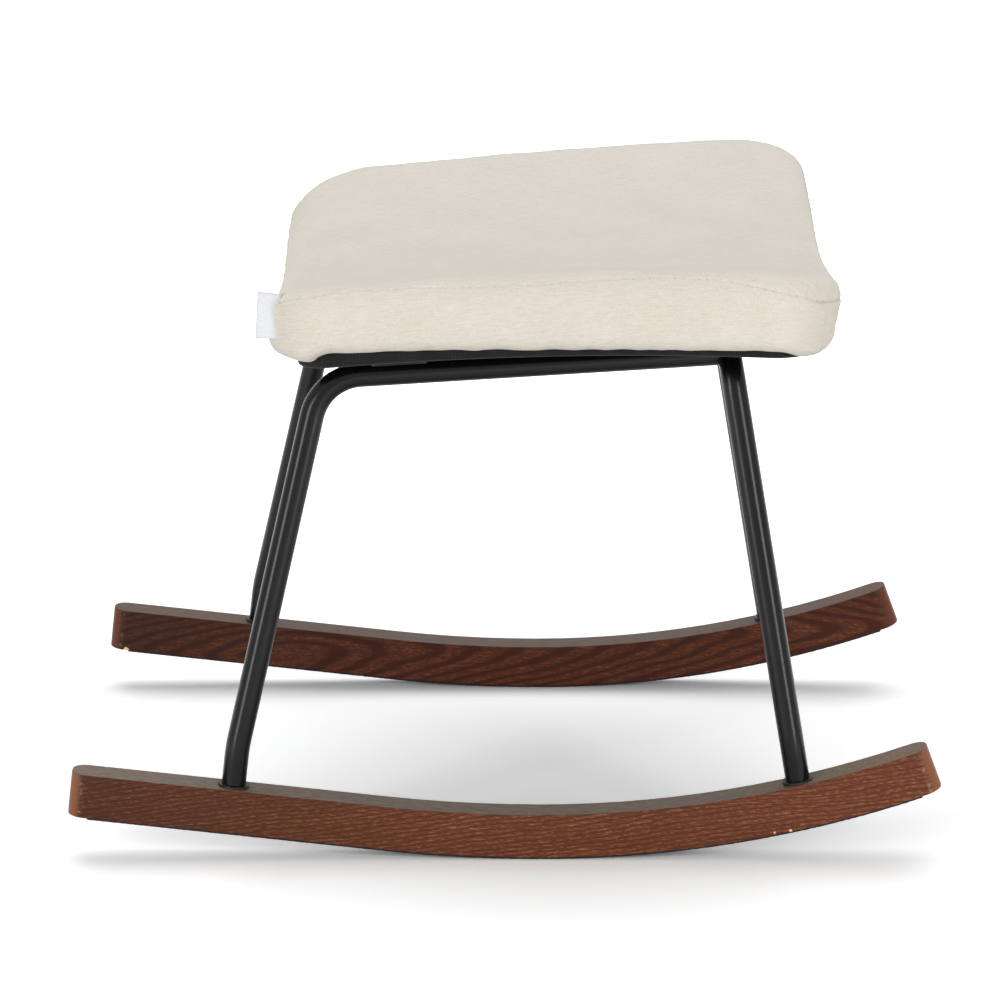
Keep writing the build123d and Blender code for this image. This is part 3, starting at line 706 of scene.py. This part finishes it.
def seamPlaces(point):
    # for each corner seam, where it is along the outline
    found = []
    for endSide, widthSide, degrees in cushion["cornerSeams"]:
        u, y, radius, slope = cornerCentre(endSide, widthSide)
        angle = math.radians(degrees)
        way = np.array([endSide * math.cos(angle), widthSide * math.sin(angle)])
        found.append(int(np.argmin(np.linalg.norm(point - (np.array([u, y]) + radius * way), axis=1))))
    return found


def hill(away, form):
    height, middle, width = form
    return height * np.exp(-((away - middle) / width) ** 2)


def sewnSection(point, way, along, girth):
    # the section's rows, close together at the seam, with the groove, the puff beside it and the slow waves
    inset, height, top, drop = sectionRows(point, way, along)
    around, rim = len(point), cushion["shoulderRows"] + 1
    steps = np.hypot(np.diff(inset, axis=0), np.diff(height, axis=0))
    travel = np.vstack([np.zeros(around), np.cumsum(steps, axis=0)])
    seamDrop = np.minimum(seamFall(point[:, 0]), drop * cushion["seamLimit"])
    fallen = top - height[:rim]
    seam = np.array([np.interp(seamDrop[i], fallen[:, i], travel[:rim, i]) for i in range(around)])

    band = cushion["seamBand"]
    shoulderSteps, seamSteps, wallSteps = cushion["shoulderSteps"], cushion["seamSteps"], cushion["wallSteps"]
    want = [(seam - band) * (k / shoulderSteps) for k in range(shoulderSteps)]
    want += [seam + band * (2 * (k / seamSteps) - 1) for k in range(seamSteps + 1)]
    want += [seam + band + (travel[-1] - seam - band) * (k / wallSteps) for k in range(1, wallSteps + 1)]
    want = np.array(want)
    d = np.array([[np.interp(row[i], travel[:, i], inset[:, i]) for i in range(around)] for row in want])
    h = np.array([[np.interp(row[i], travel[:, i], height[:, i]) for i in range(around)] for row in want])

    fromCorner = np.full(around, 1e3)
    for index in seamPlaces(point):
        gap = np.abs(along - along[index])
        fromCorner = np.minimum(fromCorner, np.minimum(gap, girth - gap))

    # outward direction in the section, from the rows' own slope
    dd, dh = np.gradient(d, axis=0), np.gradient(h, axis=0)
    size = np.maximum(np.hypot(dd, dh), 1e-6)
    away = want - seam
    nearCorner = np.exp(-(fromCorner / cushion["cornerReach"]) ** 2)
    depth = cushion["seamDepth"] * (1 + cushion["cornerDepth"] * nearCorner)
    groove = -depth * np.exp(-(away / cushion["seamWidth"]) ** 2)
    puff = hill(np.abs(away), cushion["puff"])
    crease = hill(away, cushion["crease"]) * (0.5 + 0.5 * np.sin(along / cushion["creasePace"] + 1.0))
    below = np.clip(away / cushion["seamFade"], 0, 1)
    below = below * np.clip((travel[-1] - want) / cushion["uprightFade"], 0, 1)
    upright = (hill(fromCorner, cushion["upright"]) + hill(fromCorner, cushion["swell"])) * below
    (broad, broadSize, broadSeed), (fine, fineSize, fineSeed) = cushion["sideWaves"]
    waves = broad * ripple(along, want, broadSize, broadSeed)
    waves = waves + fine * ripple(along, want * cushion["sideStretch"], fineSize, fineSeed)
    waves = waves * np.clip((travel[-1] - want) / cushion["waveFade"], 0, 1)
    # the shoulder meets the top without a step
    lift = (groove + puff + crease + upright + waves) * np.clip(want / cushion["topFade"], 0, 1)
    return want, d + dh / size * lift, h - dd / size * lift, away, fromCorner


def layCloth(mesh, uvs, wallFaces, seamStart, seamRow, along, want, girth):
    # top and walls are cut from the cloth apart: the seam's row takes the wall's place on the wall's faces,
    # and the last column of the wall runs on to the full girth instead of back to nothing
    around = len(along)
    loopPoint = np.zeros(len(mesh.loops), int)
    mesh.loops.foreach_get("vertex_index", loopPoint)
    loopUv = np.array(uvs, float)[loopPoint]
    loopFace = np.repeat(np.arange(len(mesh.polygons)), [p.loop_total for p in mesh.polygons])
    onWall = wallFaces[loopFace] > 0.5
    column = loopPoint % around
    onSeam = onWall & (loopPoint // around == seamStart)
    loopUv[onSeam, 0] = along[column[onSeam]] * mm
    loopUv[onSeam, 1] = (want[seamRow][column[onSeam]] + cushion["wallLay"]) * mm
    closing = onWall & (loopFace % around == around - 1) & (column == 0)
    loopUv[closing, 0] = girth * mm
    mesh.uv_layers["weave"].data.foreach_set("uv", loopUv.astype(np.float32).ravel())


def addAttribute(mesh, name, domain, values):
    made = mesh.attributes.new(name, "FLOAT", domain)
    made.data.foreach_set("value", np.asarray(values, np.float32))


def ringFaces(rings, around, middleTop, middleUnder):
    # from the middle of the top, over the edge to the middle of the underside; each face with its ring
    faces, faceRing = [], []
    for i in range(around):
        faces.append((middleTop, rings[0] + i, rings[0] + (i + 1) % around))
        faceRing.append(-1)
    for k in range(len(rings) - 1):
        a, b = rings[k], rings[k + 1]
        for i in range(around):
            j = (i + 1) % around
            faces.append((a + i, b + i, b + j, a + j))
            faceRing.append(k)
    for i in range(around):
        faces.append((middleUnder, rings[-1] + (i + 1) % around, rings[-1] + i))
        faceRing.append(len(rings))
    return faces, np.array(faceRing)


def buildCushion(material):
    point, way, along, girth = seatOutline()
    want, d, h, away, fromCorner = sewnSection(point, way, along, girth)
    around = len(point)
    points, uvs, rings = [], [], []

    def addRing(u, y, w, uv):
        rings.append(len(points))
        points.extend(onSeat(u, y, w))
        uvs.extend(uv)

    # top, from the middle outwards
    innerPoint = point - way * cushion["shoulderReach"]
    waveHeight, waveSize, waveSeed = cushion["topWave"]
    for k in range(1, cushion["topRings"]):
        share = cushion["innermost"] + (1 - cushion["innermost"]) * (k / cushion["topRings"])
        u, y = innerPoint[:, 0] * share, innerPoint[:, 1] * share
        fade = np.clip((1 - share) / cushion["rimFade"], 0, 1)
        wave = waveHeight * ripple(u, y, waveSize, waveSeed) * fade
        addRing(u, y, saddle(u, y) + wave, np.stack([u * mm, y * mm], axis=1))
    seamRow = cushion["shoulderSteps"] + cushion["seamSteps"] // 2
    firstSection = len(rings)
    for k in range(len(want)):
        u = point[:, 0] - way[:, 0] * d[k]
        y = point[:, 1] - way[:, 1] * d[k]
        if k <= seamRow:
            uv = np.stack([u * mm, y * mm], axis=1)
        else:
            uv = np.stack([along * mm, (want[k] + cushion["wallLay"]) * mm], axis=1)
        addRing(u, y, h[k], uv)
    lastSection = len(rings) - 1

    # up the edge of the board and over it, so that the form is closed
    edgeU = point[:, 0] - way[:, 0] * cushion["tuck"]
    edgeY = point[:, 1] - way[:, 1] * cushion["tuck"]
    boardEdge = cushion["boardTop"] - edgeU**2 / 2 / cushion["archRadius"]
    for share in cushion["edgeShares"]:
        w = h[-1] + (boardEdge - h[-1]) * share
        addRing(edgeU, edgeY, w, np.stack([along * mm, (w + cushion["edgeLay"]) * mm], axis=1))
    for share in cushion["underShares"]:
        u, y = edgeU * share, edgeY * share
        w = cushion["boardTop"] - u**2 / 2 / cushion["archRadius"]
        addRing(u, y, w, np.stack([u * mm, y * mm], axis=1))

    zero = np.array(0.0)
    middleTop = len(points)
    points.append(onSeat(zero, zero, saddle(zero, zero)))
    middleUnder = len(points)
    points.append(onSeat(zero, zero, np.array(cushion["boardTop"])))
    uvs.extend(((0, 0), (0, 0)))

    faces, faceRing = ringFaces(rings, around, middleTop, middleUnder)
    piece = makePiece("seatCushion", points, faces, material)
    mesh = piece.data
    mesh.uv_layers.new(name="weave")
    firstWall, firstUnder = firstSection + seamRow, lastSection + len(cushion["edgeShares"])
    wallFaces = ((faceRing >= firstWall) & (faceRing < firstUnder)).astype(np.float32)
    addAttribute(mesh, "isWall", "FACE", wallFaces)
    layCloth(mesh, uvs, wallFaces, firstWall, seamRow, along, want, girth)

    # for the needle holes: how far each point is from the seam, along it and from the corner's seam
    first = rings[firstSection]
    for name, values, elsewhere in (
        ("seamGap", away, 99.0), ("seamRun", np.tile(along, (len(want), 1)), 0.0),
        ("cornerGap", np.tile(fromCorner, (len(want), 1)), 99.0),
    ):
        full = np.full(len(points), elsewhere, np.float32)
        full[first:first + values.size] = values.ravel()
        addAttribute(mesh, name, "POINT", full)
    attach(piece, "root")
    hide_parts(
        "foam_pad", "cover_top_panel", "cover_right_panel", "cover_front_panel", "cover_left_panel",
        "cover_rear_panel",
    )


cloth = {
    "cream": (0.785, 0.737, 0.650), "pale": (0.865, 0.835, 0.775), "shade": (0.600, 0.545, 0.455),
    "rust": (0.52, 0.32, 0.22), "needle": (0.30, 0.12, 0.07),
    "thread": 0.00125, "stitch": 5.5, "sway": 0.0030,  # metres, millimetres, metres
    "slubScale": (85, 780, 1), "yarnScale": (240, 1500, 1),
    "crossScale": (1500, 210, 1), "redScale": (130, 900, 1),
    "holeShade": 0.55, "foldShade": 0.10, "uprightShade": 0.18,
}


def oatmealCloth():
    made, tree, shader = newMaterial("oatmealCloth", cloth["cream"], 0.93, 0.12, 0.12)
    lay = addNode(tree, "UVMap", uv_map="weave").outputs[0]
    wall = addNode(tree, "Attribute", attribute_name="isWall").outputs["Fac"]
    parts = addNode(tree, "SeparateXYZ", sources={"Vector": lay})
    turn = 2 * math.pi / cloth["thread"]
    bend = noise(tree, lay, 55, 2.0)
    sway = calc(tree, "MULTIPLY", calc(tree, "SUBTRACT", bend, 0.5), cloth["sway"])
    x = calc(tree, "MULTIPLY", calc(tree, "ADD", parts.outputs["X"], sway), turn)
    y = calc(tree, "MULTIPLY", calc(tree, "ADD", parts.outputs["Y"], sway), turn)
    warp, weft = calc(tree, "SINE", x), calc(tree, "SINE", y)
    over = calc(tree, "MULTIPLY", warp, weft)
    twill = calc(tree, "SINE", calc(tree, "MULTIPLY", calc(tree, "ADD", x, y), 0.5))
    ribs = calc(tree, "ADD", calc(tree, "MULTIPLY", over, 0.5), calc(tree, "MULTIPLY", twill, 0.35))

    slub = noise(tree, stretched(tree, lay, cloth["slubScale"]), 1.0, 4.0, 0.62)
    yarn = noise(tree, stretched(tree, lay, cloth["yarnScale"], (4, 9, 0)), 1.0, 3.0, 0.6)
    cross = noise(tree, stretched(tree, lay, cloth["crossScale"], (2, 5, 0)), 1.0, 3.0, 0.6)
    cloud = noise(tree, lay, 17, 3.0)
    grains = noise(tree, lay, 1050, 2.0)
    fibre = calc(tree, "ADD", calc(tree, "MULTIPLY", slub, 0.6), calc(tree, "MULTIPLY", yarn, 0.4))
    fibre = calc(tree, "ADD", calc(tree, "MULTIPLY", fibre, 0.7), calc(tree, "MULTIPLY", cross, 0.3))
    colour = blendColours(tree, spread(tree, fibre, 0.36, 0.60), cloth["shade"], cloth["cream"])
    colour = blendColours(tree, spread(tree, grains, 0.45, 0.75, 0.0, 0.55), colour, cloth["pale"])
    # painted shade in the pits between the threads
    pitShade = spread(tree, ribs, -0.7, 0.35, 0.30, 0.0)
    colour = blendColours(tree, pitShade, colour, cloth["shade"])
    red = noise(tree, stretched(tree, lay, cloth["redScale"], (8, 3, 0)), 1.0, 2.0)
    colour = blendColours(tree, spread(tree, red, 0.64, 0.74, 0.0, 0.35), colour, cloth["rust"])
    colour = blendColours(tree, spread(tree, cloud, 0.35, 0.7, 0.0, 0.18), colour, cloth["pale"])

    # needle holes, a few left out, along the seams
    gap = addNode(tree, "Attribute", attribute_name="seamGap").outputs["Fac"]
    run = addNode(tree, "Attribute", attribute_name="seamRun").outputs["Fac"]
    corner = addNode(tree, "Attribute", attribute_name="cornerGap").outputs["Fac"]
    step = calc(tree, "SUBTRACT", calc(tree, "FRACT", calc(tree, "DIVIDE", run, cloth["stitch"])), 0.5)
    step = calc(tree, "MULTIPLY", step, cloth["stitch"])
    reach = calc(tree, "MULTIPLY_ADD", step, step, calc(tree, "MULTIPLY", gap, gap))
    reach = calc(tree, "SQRT", reach)
    seen = spread(tree, noise(tree, lay, 95, 2.0), 0.46, 0.62)
    hole = calc(tree, "MULTIPLY", spread(tree, reach, 0.25, 0.75, 1.0, 0.0), seen)
    # painted shade in the fold beside the seam and along the corner seams of the walls
    fold = spread(tree, calc(tree, "ABSOLUTE", gap), 0.1, 0.9, cloth["foldShade"], 0.0)
    upright = calc(tree, "MULTIPLY", spread(tree, corner, 0.2, 1.0, cloth["uprightShade"], 0.0), wall)
    colour = blendColours(tree, calc(tree, "MAXIMUM", fold, upright), colour, cloth["shade"])
    colour = blendColours(tree, calc(tree, "MULTIPLY", hole, cloth["holeShade"]), colour, cloth["needle"])
    tree.links.new(colour, shader.inputs["Base Color"])

    height = calc(tree, "ADD", calc(tree, "MULTIPLY", ribs, 0.45), calc(tree, "MULTIPLY", fibre, 1.1))
    height = calc(tree, "SUBTRACT", height, calc(tree, "MULTIPLY", hole, 1.5))
    addBump(tree, shader, height, 0.55, 0.0005)
    return made


buildCushion(oatmealCloth())
print("cushion: saddle, shoulders, seams and stapled edge are sewn")


# blank side tag in the rear right corner

tag = {
    "width": 14.6, "height": 31.0, "bottom": 17.0, "thickness": 0.9, "across": 8, "up": 14,
    "degrees": 30.0, "lean": 0.12, "slant": 0.11, "inside": 1.5, "roundFrom": 0.86, "thinnest": 0.12,
    "bow": 0.9, "bowOut": 2.2, "bowUp": 1.4,
    "colour": (0.75, 0.765, 0.795), "dark": (0.705, 0.72, 0.75), "pale": (0.785, 0.80, 0.83),
}


def buildTag():
    made, tree, shader = newMaterial("tagCloth", tag["colour"], 0.7, 0.25, 0.05)
    lines = noise(tree, stretched(tree, objectPlace(tree), (2600, 2600, 700)), 1.0, 2.0)
    colour = blendColours(tree, spread(tree, lines, 0.35, 0.65), tag["dark"], tag["pale"])
    tree.links.new(colour, shader.inputs["Base Color"])
    addBump(tree, shader, lines, 0.25, 0.0002)

    centreU, centreY, radius, _ = cornerCentre(-1, -1)
    angle = math.radians(tag["degrees"])
    root = (centreU - radius * math.cos(angle), centreY - radius * math.sin(angle))
    points, faces = [], []
    columns, levels = tag["across"] + 1, tag["up"] + 1
    for layer in (-1, 1):
        for i in range(columns):
            share = i / tag["across"]
            out = -tag["inside"] + (tag["width"] + tag["inside"]) * share
            rounding = max(0.0, (share - tag["roundFrom"]) / (1 - tag["roundFrom"]))
            ease = math.sqrt(max(0.0, 1 - rounding**2))
            for k in range(levels):
                up = k / tag["up"]
                bow = tag["bow"] * math.sin(share * tag["bowOut"] + up * tag["bowUp"])
                y = root[1] + bow + layer * tag["thickness"] / 2 * max(ease, tag["thinnest"])
                w = tag["bottom"] + tag["height"] * up + tag["lean"] * out * (0.4 + up)
                u = root[0] - (out - tag["slant"] * tag["height"] * up)
                points.append(onSeat(np.array(u), np.array(y), np.array(w)))

    def at(layer, i, k):
        return layer * columns * levels + i * levels + k

    for i in range(tag["across"]):
        for k in range(tag["up"]):
            faces.append((at(0, i, k), at(0, i, k + 1), at(0, i + 1, k + 1), at(0, i + 1, k)))
            faces.append((at(1, i, k), at(1, i + 1, k), at(1, i + 1, k + 1), at(1, i, k + 1)))
        for k in (0, tag["up"]):
            ends = (at(0, i, k), at(0, i + 1, k), at(1, i + 1, k), at(1, i, k))
            faces.append(ends if k == 0 else ends[::-1])
    for k in range(tag["up"]):
        faces.append((at(0, 0, k), at(1, 0, k), at(1, 0, k + 1), at(0, 0, k + 1)))
        last = tag["across"]
        faces.append((at(0, last, k), at(0, last, k + 1), at(1, last, k + 1), at(1, last, k)))
    piece = makePiece("sideTag", points, faces, made)
    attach(piece, "root")
    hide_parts("side_tag")


buildTag()
print("tag: the blank tag is sewn in")


# where the model has got to

print("scene: all pieces are built")
